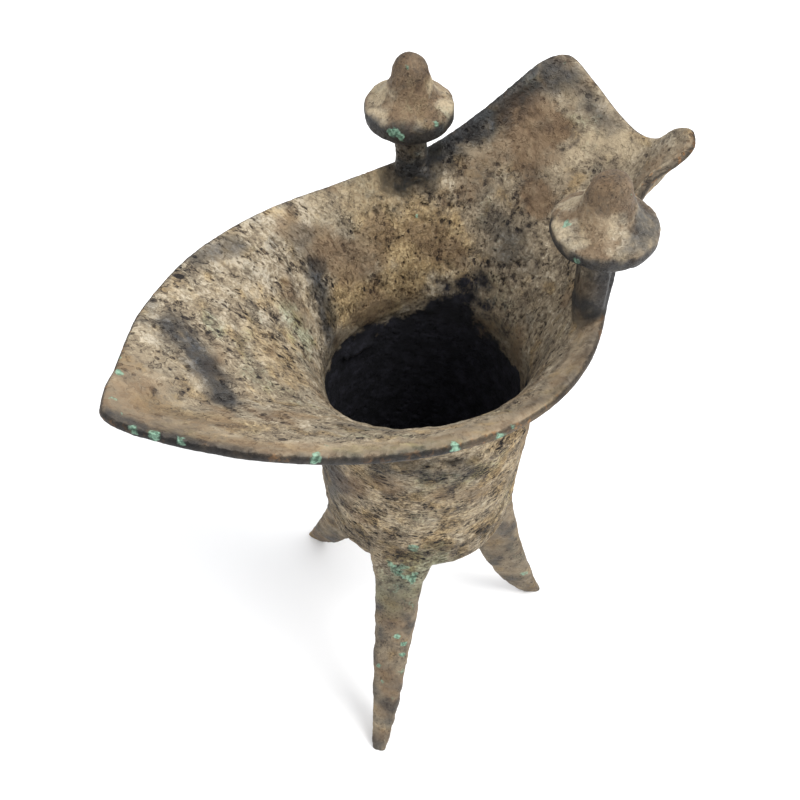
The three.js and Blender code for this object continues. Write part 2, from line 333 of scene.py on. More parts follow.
# Middle surface of the vessel: rings from bottom to rim, and their outward normals
def middle_surface(per_station, bottom_rows, wall_rows, flare_rows):
    rim, outward, leans = rim_line(per_station)
    rim_bearing = np.arctan2(rim[:, 1], rim[:, 0])
    away = np.abs(rim_bearing) / DEG
    spread = SPOUT_SPREAD * np.sin(math.pi * np.minimum(away / SPOUT_SPREAD_END, 1))
    bearing = np.sign(rim_bearing) * (away + spread) * DEG
    out = np.stack([np.cos(bearing), np.sin(bearing), np.zeros(len(rim))], axis=1)
    rings = []
    walls = []
    for i in range(1, bottom_rows + 1):
        angle = i / (bottom_rows + 1) * 90 * DEG
        height = CUP_LOW_Z - CUP_BOTTOM_DEPTH * math.cos(angle)
        rings.append(out * CUP_RADIUS_LOW * math.sin(angle) + UP * height)
        walls.append(WALL_CUP)
    for i in range(wall_rows):
        share = i / wall_rows
        radius = CUP_RADIUS_LOW + (CUP_RADIUS_TOP - CUP_RADIUS_LOW) * share
        rings.append(out * radius + UP * (CUP_LOW_Z + (THROAT_Z - CUP_LOW_Z) * share))
        walls.append(WALL_CUP)
    start = out * CUP_RADIUS_TOP + UP * THROAT_Z
    span = np.linalg.norm(rim - start, axis=1)[:, None]
    radial = unit(rim * np.array([1, 1, 0]))
    rise = np.clip((np.sin(leans) - 0.5) * 2, 0, 1)[:, None]
    level = unit(radial * (1 - rise) + outward * rise)
    steepness = np.maximum((leans / DEG - SHALLOW_LEAN) / (STEEP_LEAN - SHALLOW_LEAN), 0)[:, None]
    hold = FLARE_END_SHALLOW + (FLARE_END_STEEP - FLARE_END_SHALLOW) * steepness
    start_pull = UP * FLARE_START * span
    end_pull = (level * np.cos(leans)[:, None] + UP * np.sin(leans)[:, None]) * hold * span
    for i in range(flare_rows + 1):
        t = i / flare_rows
        ring = (start * (2 * t ** 3 - 3 * t ** 2 + 1) + start_pull * (t ** 3 - 2 * t ** 2 + t)
                + rim * (-2 * t ** 3 + 3 * t ** 2) + end_pull * (t ** 3 - t ** 2))
        passes = FLARE_EASING * math.sqrt(1 - t)
        rings.append(blur_ring(ring, math.sqrt(0.5 * passes) * per_station / COARSE_PER_STATION))
        walls.append(WALL_CUP + (WALL_RIM - WALL_CUP) * t)
    rings = np.array(rings)
    along = np.roll(rings, -1, axis=1) - np.roll(rings, 1, axis=1)
    normals = unit(np.cross(along, np.gradient(rings, axis=0)))
    return rings, normals, np.array(walls)


def vessel_shell(surface):
    rings, normals, walls = surface
    half = walls[:, None, None] / 2
    outer = list(rings + normals * half)
    inner = list(reversed(rings - normals * half))
    out = unit(rings[-1] - rings[-2])
    edge = []
    for angle in EDGE_ANGLES:
        side = math.cos(angle * DEG) / math.cos(EDGE_ANGLES[0] * DEG)
        reach = EDGE_OUT * (math.sin(angle * DEG) - EDGE_START) / EDGE_SPAN
        across = normals[-1] * side * EDGE_HALF * WALL_RIM * EDGE_TAPER
        edge.append(rings[-1] + across + out * reach * WALL_RIM)
    low = (0, 0, CUP_BOTTOM_Z - WALL_CUP / 2)
    return skin(low, outer + edge + inner, (0, 0, CUP_BOTTOM_Z + WALL_CUP / 2))


# The room inside the cup, over its bottom and wall
def cup_room(surface, rows):
    rings = surface[0][:rows]
    return skin((0, 0, CUP_BOTTOM_Z), rings, (0, 0, rings[-1][0][2]))


# The room inside the whole vessel, carried up over the rim
def inside_fill(surface):
    rings = surface[0]
    lid = rings[-1].copy()
    lid[:, 2] = CUTTER_TOP_Z
    return skin((0, 0, CUP_BOTTOM_Z), list(rings) + [lid], (0, 0, CUTTER_TOP_Z))


# Closed section with eased corners, in shares of two half sizes
def section(corners, across, out, per_corner):
    return closed_curve([(a * across, b * out, 0) for a, b in corners], per_corner)[:, :2]


def leg(bearing, foot):
    table = np.array(LEG_SHAPE)
    shares = np.linspace(0, table[-1, 0], LEG_STEPS)
    widths = np.interp(shares, table[:, 0], table[:, 1])
    depths = np.interp(shares, table[:, 0], table[:, 2])
    radial = np.array([math.cos(bearing * DEG), math.sin(bearing * DEG), 0])
    across = np.array([-math.sin(bearing * DEG), math.cos(bearing * DEG), 0])
    rings = []
    centres = []
    for share, width, depth in zip(shares, widths, depths):
        t = min(share, 1)
        p0, p1, p2 = np.array(LEG_TOP), np.array(LEG_BEND), np.array([foot, 0])
        centre = p0 * (1 - t) ** 2 + p1 * 2 * t * (1 - t) + p2 * t ** 2
        along = unit(2 * (1 - t) * (p1 - p0) + 2 * t * (p2 - p1))
        centre = centre + along * (share - t) * LEG_TOP[1]
        facing = np.array([-along[1], along[0]])
        ring = []
        for side, outward in section(LEG_CORNERS, width / 2, depth, LEG_PER_CORNER):
            r, z = centre + facing * outward
            ring.append(radial * r + UP * z + across * side)
        rings.append(ring)
        centres.append(radial * centre[0] + UP * centre[1])
    return skin(centres[0], rings, centres[-1])


# Bearings of points spaced evenly round a circle
def bearings(sides):
    return np.arange(sides) * (360 / sides) * DEG


def level_ring(x, y, z, radius, angle):
    return np.stack([x + radius * np.cos(angle), y + radius * np.sin(angle), np.full(len(angle), z)], axis=1)


def post_stem(post):
    side, half, forward, out, cap_z = post[:5]
    rows = STEM_ROWS + [(cap_z + STEM_IN_CAP, STEM_TOP_GROW, 0)]
    angle = bearings(STEM_SIDES)
    rings = []
    for z, grow, shift in through(rows, np.linspace(0, 1, STEM_STEPS)):
        radius = half * grow * (1 + STEM_SQUARENESS * np.cos(4 * angle))
        rings.append(level_ring(POST_X + forward * shift, side * (POST_Y + out * shift), z, radius, angle))
    return skin(np.mean(rings[0], axis=0), rings, np.mean(rings[-1], axis=0))


def post_cap(post):
    side = post[0]
    cap_z, wide, high = post[4:]
    angle = bearings(CAP_SIDES)
    rings = []
    for r, z in through(CAP_PROFILE, np.linspace(0, 1, CAP_STEPS))[1:-1]:
        radius = max(r, SMALLEST_RADIUS) * wide
        rings.append(level_ring(POST_X, side * POST_Y, cap_z + z * high, radius, angle))
    top = cap_z + CAP_PROFILE[-1][1] * high
    return skin((POST_X, side * POST_Y, cap_z), rings, (POST_X, side * POST_Y, top))


# Strap bent out from the cup and back to it, its path given as distance from the axis and height
def handle():
    wall = CUP_RADIUS_LOW - HANDLE_ROOT
    reach = HANDLE_REACH - HANDLE_THICK / 2
    path = [
        (wall, HANDLE_LOW_Z), (wall + 9, HANDLE_LOW_Z + 1), (reach, HANDLE_LOW_Z + 10),
        (reach, HANDLE_HIGH_Z - 9), (wall + 11, HANDLE_HIGH_Z - 0.5), (wall, HANDLE_HIGH_Z),
    ]
    centres = through(path, np.linspace(0, 1, HANDLE_STEPS))
    along = unit(np.gradient(centres, axis=0))
    strap = section(HANDLE_CORNERS, HANDLE_WIDTH / 2, HANDLE_THICK / 2, HANDLE_PER_CORNER)
    rings = []
    for (y, z), (dy, dz) in zip(centres, along):
        rings.append([(side, y + dz * out, z - dy * out) for side, out in strap])
    first, last = (0, *centres[0]), (0, *centres[-1])
    return skin(first, rings, last)


def mesh_from(name, points, faces):
    mesh = bpy.data.meshes.new(name)
    mesh.from_pydata([tuple(p) for p in points], [], faces)
    mesh.update()
    return mesh


def put(name, data):
    thing = bpy.data.objects.new(name, data)
    bpy.context.scene.collection.objects.link(thing)
    return thing


def temporary(name, points, faces):
    return put(name, mesh_from(name, points, faces))


def applied(thing):
    graph = bpy.context.evaluated_depsgraph_get()
    graph.update()
    return bpy.data.meshes.new_from_object(thing.evaluated_get(graph))


def vectors_of(items, name):
    flat = np.empty(len(items) * 3, dtype=np.float32)
    items.foreach_get(name, flat)
    return flat.reshape(-1, 3).astype(float)


def coordinates(mesh):
    return vectors_of(mesh.vertices, "co")


def normals_of(mesh):
    return vectors_of(mesh.vertex_normals, "vector")


def set_coordinates(mesh, points):
    mesh.vertices.foreach_set("co", points.astype(np.float32).ravel())
    mesh.update()


def drop(*things):
    for thing in things:
        mesh = thing.data
        bpy.data.objects.remove(thing)
        bpy.data.meshes.remove(mesh)


# Keeps of one form only what lies outside, or inside, another
def cut(form, tool, operation):
    thing = temporary("form", *form)
    modifier = thing.modifiers.new("cut", "BOOLEAN")
    modifier.operation = operation
    modifier.object = tool
    modifier.solver = "MANIFOLD"
    mesh = applied(thing)
    points = coordinates(mesh)
    faces = [tuple(p.vertices) for p in mesh.polygons]
    drop(thing)
    bpy.data.meshes.remove(mesh)
    return points, faces


def gathered(forms):
    points = []
    faces = []
    start = 0
    for form_points, form_faces in forms:
        points.append(np.asarray(form_points))
        faces += [tuple(start + i for i in face) for face in form_faces]
        start += len(form_points)
    return np.vstack(points), faces


# One closed skin round all the forms, run together as they were cast
def cast_together(forms):
    thing = temporary("cast", *gathered(forms))
    modifier = thing.modifiers.new("melt", "REMESH")
    modifier.mode = "VOXEL"
    modifier.voxel_size = VOXEL
    mesh = applied(thing)
    drop(thing)
    return mesh


# Takes the small steps out of the skin without shrinking it
def relax(mesh, rounds):
    points = coordinates(mesh)
    ends = np.empty(len(mesh.edges) * 2, dtype=np.int32)
    mesh.edges.foreach_get("vertices", ends)
    a, b = ends.reshape(-1, 2).T
    count = np.bincount(a, minlength=len(points)) + np.bincount(b, minlength=len(points))
    for step in range(rounds * 2):
        pull = RELAX_PULL if step % 2 == 0 else RELAX_PUSH
        total = np.empty_like(points)
        for axis in range(3):
            total[:, axis] = (np.bincount(a, points[b, axis], len(points))
                              + np.bincount(b, points[a, axis], len(points)))
        points += pull * (total / count[:, None] - points)
    set_coordinates(mesh, points)


# Cuts the skin off level at the floor and closes each foot with a flat sole
def flat_feet(mesh):
    work = bmesh.new()
    work.from_mesh(mesh)
    everything = work.verts[:] + work.edges[:] + work.faces[:]
    made = bmesh.ops.bisect_plane(work, geom=everything, plane_co=(0, 0, 0), plane_no=(0, 0, -1),
                                  clear_outer=True)
    rim = [item for item in made["geom_cut"] if isinstance(item, bmesh.types.BMEdge)]
    bmesh.ops.edgenet_fill(work, edges=rim)
    bmesh.ops.triangulate(work, faces=work.faces[:])
    work.to_mesh(mesh)
    work.free()


# Strongest of several patches, each along a path of points, their edges pushed about by a warp
def near_paths(points, patches, warp, softness):
    middle = 0.9
    value = np.zeros(len(points))
    for reach, strength, path in patches:
        stops = np.array(path, dtype=float)
        distance = np.full(len(points), 1e6)
        for start, end in zip(stops, stops[1:] if len(stops) > 1 else stops):
            span = end - start
            share = np.clip((points - start) @ span / max(span @ span, 1e-9), 0, 1)
            distance = np.minimum(distance, np.linalg.norm(points - start - share[:, None] * span, axis=1))
        fall = 1 - smooth(middle - softness, middle + softness, distance / reach + warp)
        value = np.maximum(value, strength * fall)
    return value


# Patches of each kind of surface: reach, strength and path, in millimetres. First, dark blue-grey film, and a
# darker band down the cup's wall on the tail side
DARK_FILM = [
    (6, 0.85, [(-62.9, 24.2, 160.3), (-62.9, 17.4, 157.9), (-63.8, 10, 155.8), (-65.3, 3.4, 154.4)]),
    (4, 0.62, [(-42.8, 43.6, 158.7), (-34.8, 44.3, 156.2), (-27.4, 44.1, 153.7)]),
    (4, 0.5, [(-11.5, 39.3, 145.6), (-6.8, 40.9, 146.8)]),
    (4.5, 0.8, [(-8.6, 35.4, 139.8), (-9.8, 30.5, 131.9), (-12.1, 26.1, 123)]),
    (3, 0.45, [(-69.5, 29.5, 164.9), (-62.4, 33.9, 163.3)]),
    (7, 1.0, [(24.1, 32.7, 157.3), (32.7, 33.1, 160.9), (39.6, 30.4, 164.4), (45.8, 27.1, 167.8)]),
    (7.5, 0.8, [(45.8, 27.1, 167.8), (60.4, 24.6, 175.5), (68.6, 19.4, 177.7)]),
    (3, 0.55, [(69.8, 14.2, 175.9), (68.9, 7.6, 171.6), (69.2, -0.1, 167.9)]),
    (6, 0.55, [(39.3, 13.8, 142.5), (39.6, 6.1, 140.6), (36.9, 5.8, 136.8)]),
    (4.5, 0.9, [(23.1, 34.9, 156.5), (26.8, 30.7, 155.6)]),
    (4, 0.6, [(30.6, 8.7, 127.3), (28.2, 10, 121.9)]),
    (5, 0.9, [(21, -31.9, 156.2), (20.9, -37, 156.4)]),
    (8, 0.75, [(33, -40, 183), (27, -44, 182)]),
    (3.2, 0.9, [(12.9, 36, 177), (15, 29, 177.5), (19, 25, 176.5)]),
    (2.6, 0.8, [(12.5, -36, 179), (16, -44, 179)]),
    (3, 0.55, [(19.1, -42.3, 154.4), (8.8, -46.7, 152.2), (-3.5, -49.5, 152.4)]),
    (3.2, 0.9, [(-97, 2, 172.6), (-93.4, -8.3, 170.3), (-86.6, -17, 168), (-77, -26.7, 165)]),
    (2.8, 0.8, [(-77, -26.7, 165), (-56, -40, 160), (-38.3, -47.2, 156)]),
    # A darker band down the cup's wall on the tail side
    (9, 0.75, [(-30, 5, 116), (-28, 8, 84)]),
    (7, 0.65, [(-27, -12, 114), (-14, -26, 113)]),
    (4, 0.5, [(-45, -18, 148), (-38, -26, 146)]),
]

# Smooth brown patches
BROWN_PATCHES = [
    (7.5, 0.75, [(-3, 37.1, 141.9), (1.8, 34.2, 137.9), (6.3, 32, 135.2)]),
    (7.5, 0.9, [(58.1, 21.6, 168.2), (59.6, 15.1, 165.3), (55.5, 16.5, 161.4)]),
    (4.5, 0.7, [(54.1, 13, 158.9), (51.5, 12.9, 156.1)]),
    (5, 0.9, [(48.7, 7.9, 151.8), (48.3, 4.7, 150.4)]),
    (4, 0.55, [(-79.3, -6.2, 164.2), (-73.6, -9.7, 161.8)]),
    (6, 0.5, [(38.4, 22.2, 149.5), (42.7, 23, 155.5)]),
    (6, 0.8, [(-30, -4, 99), (-29.5, 2, 95)]),
    (4.5, 0.45, [(-16.4, -24.2, 104), (-6, -29, 98)]),
    (6, 0.5, [(14, -28.5, 107), (20, -23, 88)]),
    (7, 0.5, [(-24, -17, 52), (-25, -17.5, 44)]),
    (4, 1.0, [(22, 29, 186), (18.7, 31, 181.8), (16, 29, 178.5)]),
    (3.4, 0.6, [(19.2, -35.3, 187.6), (17.5, -40, 182.5)]),
]

# Ochre earth
OCHRE_PATCHES = [
    (13, 0.9, [(16.2, 35.5, 148.2), (18.7, 29.8, 141.2), (25.2, 24.2, 137.3)]),
    (9, 0.9, [(-2.3, 29.8, 127.5), (7.5, 27.8, 122.7), (15.2, 25.6, 125.2)]),
    (9, 0.5, [(-39.7, 19.3, 143), (-37.2, 12.6, 137)]),
    (5, 0.6, [(-85.4, 4, 166.3), (-70.2, -12.7, 160.7)]),
    (3, 0.5, [(-86, -12, 168.5), (-62, -33, 161), (-30, -46, 153)]),
    (9, 0.6, [(38, -12, 22), (32, -14, 45)]),
]

# Pale cream earth
PALE_PATCHES = [
    (4.5, 0.8, [(65, 1.4, 165.1), (67.7, -2.4, 165.9), (67.9, -7, 165.1)]),
    (9, 0.55, [(4.4, 43.2, 150), (12.8, 40.1, 150.8), (18.4, 35.8, 150.4)]),
    (4.5, 0.5, [(56.9, 6.3, 159.6), (59.9, 3.6, 161.4)]),
    (2.5, 0.6, [(65.9, 22.4, 177.7), (69.5, 16.2, 176.6), (67.6, 11, 172)]),
    (8, 0.35, [(-20, -22, 92), (0, -30, 86)]),
]

# Thin grey-green film
GREEN_PATCHES = [
    (4, 0.6, [(-51.6, 25.7, 154.5), (-52, 23.3, 153.7)]),
    (6, 0.6, [(-24, 27.8, 137.4), (-23, 23.1, 130.6)]),
    (5, 0.5, [(-52.4, 9.6, 148.4), (-50.4, 6.4, 145.7)]),
    (9, 0.75, [(-16, -21, 68), (-21, -17, 62), (-25, -15, 54)]),
    (4, 0.5, [(-60, -34, 161), (-36, -46, 157)]),
    (6, 0.5, [(-20, -22, 110), (-8, -28, 110)]),
    (4, 0.6, [(36, -16, 24)]),
    (3, 0.6, [(20, 30, 176), (14, 28, 178)]),
]

# Mint green corrosion spots: place, size, strength
MINT_SPOTS = [
    (-86.5, 13.9, 169.9, 2.2, 1), (-92.9, 6.4, 171.6, 2, 0.9), (-94.4, 1.4, 172.1, 1.8, 0.8),
    (-95.2, -4.2, 172, 2.4, 0.8), (-92.6, -7.6, 171.3, 2.2, 0.9), (-88.6, -12.2, 170.4, 2.6, 0.7),
    (-66.8, -31.4, 164, 2.8, 0.9), (-61.1, -29.4, 161.2, 2.2, 0.6), (-37, -46.4, 156.8, 2.8, 1),
    (-25, -49.6, 154, 2.8, 1), (-21, -50.1, 153.5, 2.4, 0.9), (-6.1, -28.1, 114.7, 1.8, 0.8),
    (-83, 18.8, 168.6, 1.8, 0.8), (23.9, 28, 144.5, 1.5, 1), (-38.9, 2.1, 136, 2.2, 0.7),
    (-11.6, -26.5, 108.2, 1.8, 1), (-2.6, -29.1, 99.6, 1.5, 0.9), (-17.1, -23.6, 102.9, 1.3, 0.8),
    (-20.8, -18.7, 77.1, 3.8, 0.8), (-23.1, -15.7, 66.5, 6, 0.8), (-20.6, -19, 63.5, 5.4, 0.8),
    (-24, -16.8, 58, 5, 0.6), (-22.6, -19.8, 54, 4.4, 0.6), (-27, -20.6, 40.2, 1.8, 1),
    (-26.4, -22.7, 37.6, 1.8, 1), (-27.6, -23.2, 33.4, 1.8, 1), (-32.8, -18.8, 28.4, 2, 0.9),
    (-29.4, -24.5, 26.9, 2.2, 0.7), (-33.5, -21.4, 22.6, 2.2, 0.8), (-32.9, -25.7, 17.8, 1.8, 0.6),
    (32.7, -19.5, 15.3, 2.6, 0.9), (21.8, 32.9, 193.3, 2.2, 1), (14.3, 29.1, 177.7, 2.4, 1),
    (15.7, 27.1, 176.8, 1.8, 0.8), (23.8, 22.8, 179.7, 1.8, 0.9), (26.2, -38.6, 192.6, 1.6, 1),
    (16.4, -29.4, 183.4, 2.2, 0.9), (70.1, 19, 179.2, 1.8, 0.7), (72, -24.1, 178, 2, 0.9),
    (66, -26.6, 173.6, 2.2, 0.9), (60, -28, 170.4, 2, 0.9), (54, -28.6, 167.4, 2, 0.7),
    (12, -37, 178, 2, 0.7), (-47, 43, 158.5, 1.6, 0.5),
]


# How far each point is from the rim's edge, up to a reach
def rim_distance(points, reach):
    rim, outward, _ = rim_line(RIM_SAMPLES)
    rim = rim + RIM_INSET * outward
    tree = kdtree.KDTree(len(rim))
    for i, point in enumerate(rim):
        tree.insert(point, i)
    tree.balance()
    distance = np.full(len(points), float(reach))
    for i in np.nonzero(points[:, 2] > RIM_LOWEST)[0]:
        distance[i] = min(reach, tree.find(points[i])[2])
    return distance


# Rises to one over the first two limits, and falls back to nothing over the last two
def between(value, low, low_full, high_full, high):
    return smooth(low, low_full, value) * (1 - smooth(high_full, high, value))


# Share of each point on a cap and on a stem, and its height on the cap
def post_places(x, y, z):
    cap = np.zeros(len(x))
    stem = np.zeros(len(x))
    cap_rise = np.zeros(len(x))
    for post in POSTS:
        side, cap_z, high = post[0], post[4], post[6]
        from_cap = np.hypot(x - POST_X, y - side * POST_Y)
        on_cap = smooth(cap_z - 1.5, cap_z - 0.5, z) * (1 - smooth(13.8, 14.8, from_cap))
        cap = np.maximum(cap, on_cap)
        cap_rise = np.where(on_cap > 0, (z - cap_z) / high, cap_rise)
        from_stem = np.hypot(x - POST_X - 1.5, y - side * (POST_Y + 0.5))
        on_stem = between(z, 150, 154, cap_z - 1.5, cap_z) * (1 - smooth(5.5, 9.0, from_stem))
        stem = np.maximum(stem, on_stem)
    return cap, stem, cap_rise


# Which part of the vessel each point belongs to
def places(points, normals):
    x, y, z = points.T
    radius = np.hypot(x, y)
    radial = np.stack([x, y, np.zeros(len(x))], axis=1) / np.maximum(radius, 1)[:, None]
    facing = np.sum(normals * radial, axis=1)
    cap, stem, cap_rise = post_places(x, y, z)
    depth = np.clip((CUP_LOW_Z - z) / CUP_BOTTOM_DEPTH, 0, 1)
    height = np.clip((z - CUP_LOW_Z) / (THROAT_Z - CUP_LOW_Z), 0, 1)
    middle = CUP_RADIUS_LOW * np.sqrt(1 - depth ** 2) + (CUP_RADIUS_TOP - CUP_RADIUS_LOW) * height
    open_side = (z > THROAT_Z) | (radius < middle)
    inside = smooth(-0.15, 0.25, 0.9 * normals[:, 2] - facing) * open_side * (1 - cap)
    return SimpleNamespace(x=x, y=y, z=z, radius=radius, bearing=np.arctan2(y, x), cap=cap, stem=stem,
                           cap_rise=cap_rise, inside=inside, leg=1 - smooth(56, 66, z))


# Coordinates that stretch the grain: out along the flare inside, and round the cup outside
def grain_points(points, at):
    on_cup = np.clip(at.z, 70, THROAT_Z)
    across = 1 - 0.66 * between(at.z, 58, 70, THROAT_Z, 150) * (1 - at.inside)
    outside = np.stack([points[:, 0] * across, points[:, 1] * across, 0.4 * on_cup + at.z], axis=1)
    reach = np.hypot(at.radius - CUP_RADIUS_TOP, at.z - THROAT_Z)
    stretch = 1.7 + 1.6 * smooth(-8, 28, -at.x)
    flare = np.stack([30 * np.cos(at.bearing), 30 * np.sin(at.bearing), reach / stretch], axis=1)
    on_flare = (smooth(110, 122, at.z) * at.inside * (1 - at.cap) * (1 - at.stem))[:, None]
    return outside * (1 - on_flare) + flare * on_flare


# Seeded noises that the masks share, from broad clouds to fine grain
def surface_noises(points, grain):
    wide = Noise(3)
    fine = Noise(11)
    medium = wide.layered(points + 90, 6.5, 3)
    small = fine.layered(points, 2.6, 2)
    return SimpleNamespace(
        broad=wide.layered(points, 17, 3), medium=medium, stain=wide.layered(points + 200, 8, 3),
        small=small, soft=0.55 * medium + 0.3 * small, streak=fine.layered(grain + 40, 1.6, 2),
        pit=fine(grain + 7, 1.2), fleck=Noise(23).layered(points, 4.2, 2))


# Share of each point in the zones that have their own surface, by limits in millimetres
def zones(at, noise, edge):
    x, y, z, inside, cap, leg = at.x, at.y, at.z, at.inside, at.cap, at.leg
    medium = noise.medium
    outside_cup = between(z, 64, 70, 116, 146) * (1 - inside)
    loop = smooth(31.5, 33.5, at.radius) * between(z, 70, 74, 112, 114) * (1 - leg)
    # Painted shade on the cup's wall behind the handle, in its recess
    behind = smooth(3, 7, 11 - np.abs(x)) * (y > 0) * between(z, 78, 84, 98, 104) * (1 - loop)
    return SimpleNamespace(
        inside=inside, leg=leg, cap=cap, stem=at.stem, near_stem=at.stem * (y < 0),
        outside_cup=outside_cup, cup_skin=outside_cup * (1 - leg) * (1 - loop),
        low_band=outside_cup * (1 - smooth(74, 78, z + 6 * medium + 0.12 * x)),
        behind_handle=behind * outside_cup,
        near_lip=(1 - smooth(5, 13, edge)) * smooth(0, 25, -y) * (1 - smooth(20, 40, x)) * (1 - cap),
        on_edge=1.0 * (edge < 4), flare_outside=(1 - inside) * smooth(124, 150, z),
        tip=1 - smooth(-88, -66, x), tail=inside * smooth(20, 45, -x),
        tail_half=inside * (1 - smooth(-20, 10, x)), far_half=inside * smooth(5, 25, y),
        far_wall=inside * smooth(10, 30, y) * between(x, -45, -30, 14, 26),
        far_mouth=inside * smooth(5, 25, y) * (1 - smooth(30, 45, x)),
        spout_root=between(x, 30, 46, 58, 66), spout=smooth(38, 54, x),
        skirt=cap * smooth(4.6, 6.4, at.cap_rise + 0.8 * medium)
        * (1 - smooth(11.5, 14.5, at.cap_rise + 4 * medium)),
        nipple=cap * smooth(11, 14, at.cap_rise + 4 * medium),
        # The caps' undersides: dark bronze, darkened further with painted shade
        under_cap=cap * (1 - smooth(3.6, 7.4, at.cap_rise + 2.2 * noise.small + 1.5 * medium)))


# Sum of zones, and strongest of zones, each by its weight
def weighted(zone, weights):
    return sum(weight * getattr(zone, name) for name, weight in weights.items())


def strongest(zone, weights):
    return np.max([weight * getattr(zone, name) for name, weight in weights.items()], axis=0)


def crust_share(zone, noise):
    cap = zone.cap
    cover = (CRUST_BASE + weighted(zone, CRUST_ADDED)) * (1 - cap)
    cover = cover + (CAP_CRUST_BASE + weighted(zone, CAP_CRUST_ADDED)) * cap
    change = 0.45 - 0.12 * zone.inside - 0.1 * zone.tail
    return np.clip(cover + change * (noise.broad + 0.9 * noise.medium) + 0.1 * noise.streak, 0, 1)


# Dark film, blotches and stains, with the darkened zones, among them painted shade under the caps and behind
# the handle
def dark_film_and_shade_share(points, zone, noise):
    film = near_paths(points, DARK_FILM, 1.4 * noise.soft, 0.7)
    film = film * smooth(-0.9, 0.2, noise.medium + 0.5 * noise.streak + 0.3)
    blotches = weighted(zone, BLOTCHED_ZONES) * smooth(-0.28, 0.62, noise.medium + 0.4 * noise.broad)
    stains = (0.36 - 0.26 * zone.tail) * (1 - zone.cap)
    stains = stains * smooth(0.12, 0.5, noise.stain + 0.5 * noise.medium)
    return np.max([film, strongest(zone, DARK_AND_SHADE_ZONES), blotches, stains], axis=0)


def brown_share(zone, noise):
    lip = 0.4 * zone.near_lip * (1 + 1.5 * noise.medium)
    skirt = 0.8 * zone.skirt * smooth(0, 0.3, noise.stain)
    clouds = 0.6 * smooth(0.05, 0.45, noise.broad)
    return np.max([strongest(zone, BROWN_ZONES), lip, skirt, clouds], axis=0)


# Ochre earth, pale cream earth and grey-green film
def earth_shares(points, zone, noise):
    ochre = 0.55 * smooth(-0.05, 0.4, -noise.medium) + 0.4 * zone.outside_cup
    pale = zone.skirt * smooth(-0.2, 0.15, -noise.stain)
    green = 0.35 * smooth(0.1, 0.4, -noise.broad)
    found = [np.maximum(near_paths(points, patches, noise.soft, 0.6), spread)
             for patches, spread in ((OCHRE_PATCHES, ochre), (PALE_PATCHES, pale), (GREEN_PATCHES, green))]
    return dict(zip(("ochre", "pale", "green"), found))


# Mint green corrosion: the spots, and flecks on the legs and along the rim
def mint_share(points, zone, noise):
    spots = [(MINT_REACH * size, strength, [(x, y, z)]) for x, y, z, size, strength in MINT_SPOTS]
    mint = near_paths(points, spots, 0.9 * noise.small + 0.4 * noise.streak, 0.4)
    flecks = smooth(0.36, 0.48, noise.fleck) * smooth(0, 0.25, noise.small)
    return np.maximum(0.9 * mint, 0.6 * flecks * (0.15 + 0.5 * zone.leg + 0.6 * zone.on_edge))


# Black inside of the cup, its dark surface deepened with painted shade; its edge ragged and higher toward the
# spout
def throat_share(at, noise):
    ragged = 14 * noise.broad + 9 * noise.medium + 4.0 * noise.small
    reach_up = 9 * smooth(14, 28, at.x) * smooth(-5, 15, at.y) - 9 * smooth(0, 22, -at.x)
    return at.inside * (1 - smooth(104, 124, at.z + ragged - reach_up)) * (at.z > 57)


def pit_share(crust, zone, noise):
    pits = smooth(0.2, 0.36, noise.pit + 0.3 * noise.medium) * (crust > 0.4)
    return pits * (1 - 0.5 * np.maximum(zone.outside_cup, zone.tail))


# Share of each kind of surface at each point, with its place, grain and nearness to the rim
def surface_masks(points, normals):
    at = places(points, normals)
    grain = grain_points(points, at)
    noise = surface_noises(points, grain)
    edge = rim_distance(points, RIM_REACH)
    zone = zones(at, noise, edge)
    zone.brown_patch = near_paths(points, BROWN_PATCHES, noise.soft, 0.5)
    crust = crust_share(zone, noise)
    masks = dict(
        crust=crust, dark=dark_film_and_shade_share(points, zone, noise), brown=brown_share(zone, noise),
        **earth_shares(points, zone, noise), mint=mint_share(points, zone, noise),
        throat=throat_share(at, noise), pits=pit_share(crust, zone, noise),
        calm=strongest(zone, CALM_ZONES) - weighted(zone, LIVELY_ZONES),
        edge=(1 - smooth(0.8, 2.8, edge)) * (1 - at.cap))
    return masks, at, grain, (1 - smooth(1, 9, edge)) * (1 - at.cap)


# Height of the relief in millimetres: lumps, rough grain, crust, pits, spots and cast lines
def relief(points, normals):
    masks, at, grain, rim = surface_masks(points, normals)
    wide = Noise(41)
    fine = Noise(57)
    lumps = 0.45 * wide(points, 21) + 0.4 * wide(points + 50, 9) + 0.3 * fine(points, 4.6)
    rough = 0.22 * fine(points + 20, 2.4) + 0.14 * fine(grain, 1.3) + 0.22 * fine(grain + 9, 2.6)
    rough = rough * (1 - 0.6 * masks["calm"])
    plates = PLATE_HEIGHT * smooth(0.45, 0.65, masks["crust"])
    pits = PIT_DEPTH * masks["pits"] * np.clip(1 - masks["calm"], 0, 1.4)
    spots = MINT_HEIGHT * masks["mint"] + PALE_HEIGHT * masks["pale"]
    wander = 0.6 * wide(points, 30)
    lines = sum(LINE_HEIGHT * np.exp(-((at.z - level + wander) / LINE_WIDTH) ** 2) for level in LINE_LEVELS)
    on_cup = between(at.z, 70, 73, 100, 104) * (1 - at.inside) * (1 - at.leg)
    return (lumps + rough + plates - pits + spots) * (1 - 0.65 * rim) + on_cup * lines


# Pushes the skin out by its relief, less and less near the sides of the box and at the feet
def raise_relief(points, normals, low, high):
    height = relief(points, normals)
    room = np.minimum(points - low, high - points)
    room[:, 2] = high[2] - points[:, 2]
    height = np.where(height > 0, height * smooth(0, 1.6, room.min(axis=1)), height)
    height = height * smooth(0.2, 2.5, points[:, 2])
    return points + normals * height[:, None]


# Lowest and highest corner of the box, in millimetres round the cup's axis
def box_corners():
    return [np.array(corner) / MM - np.array([AXIS_X, 0, 0]) for corner in cad_box]


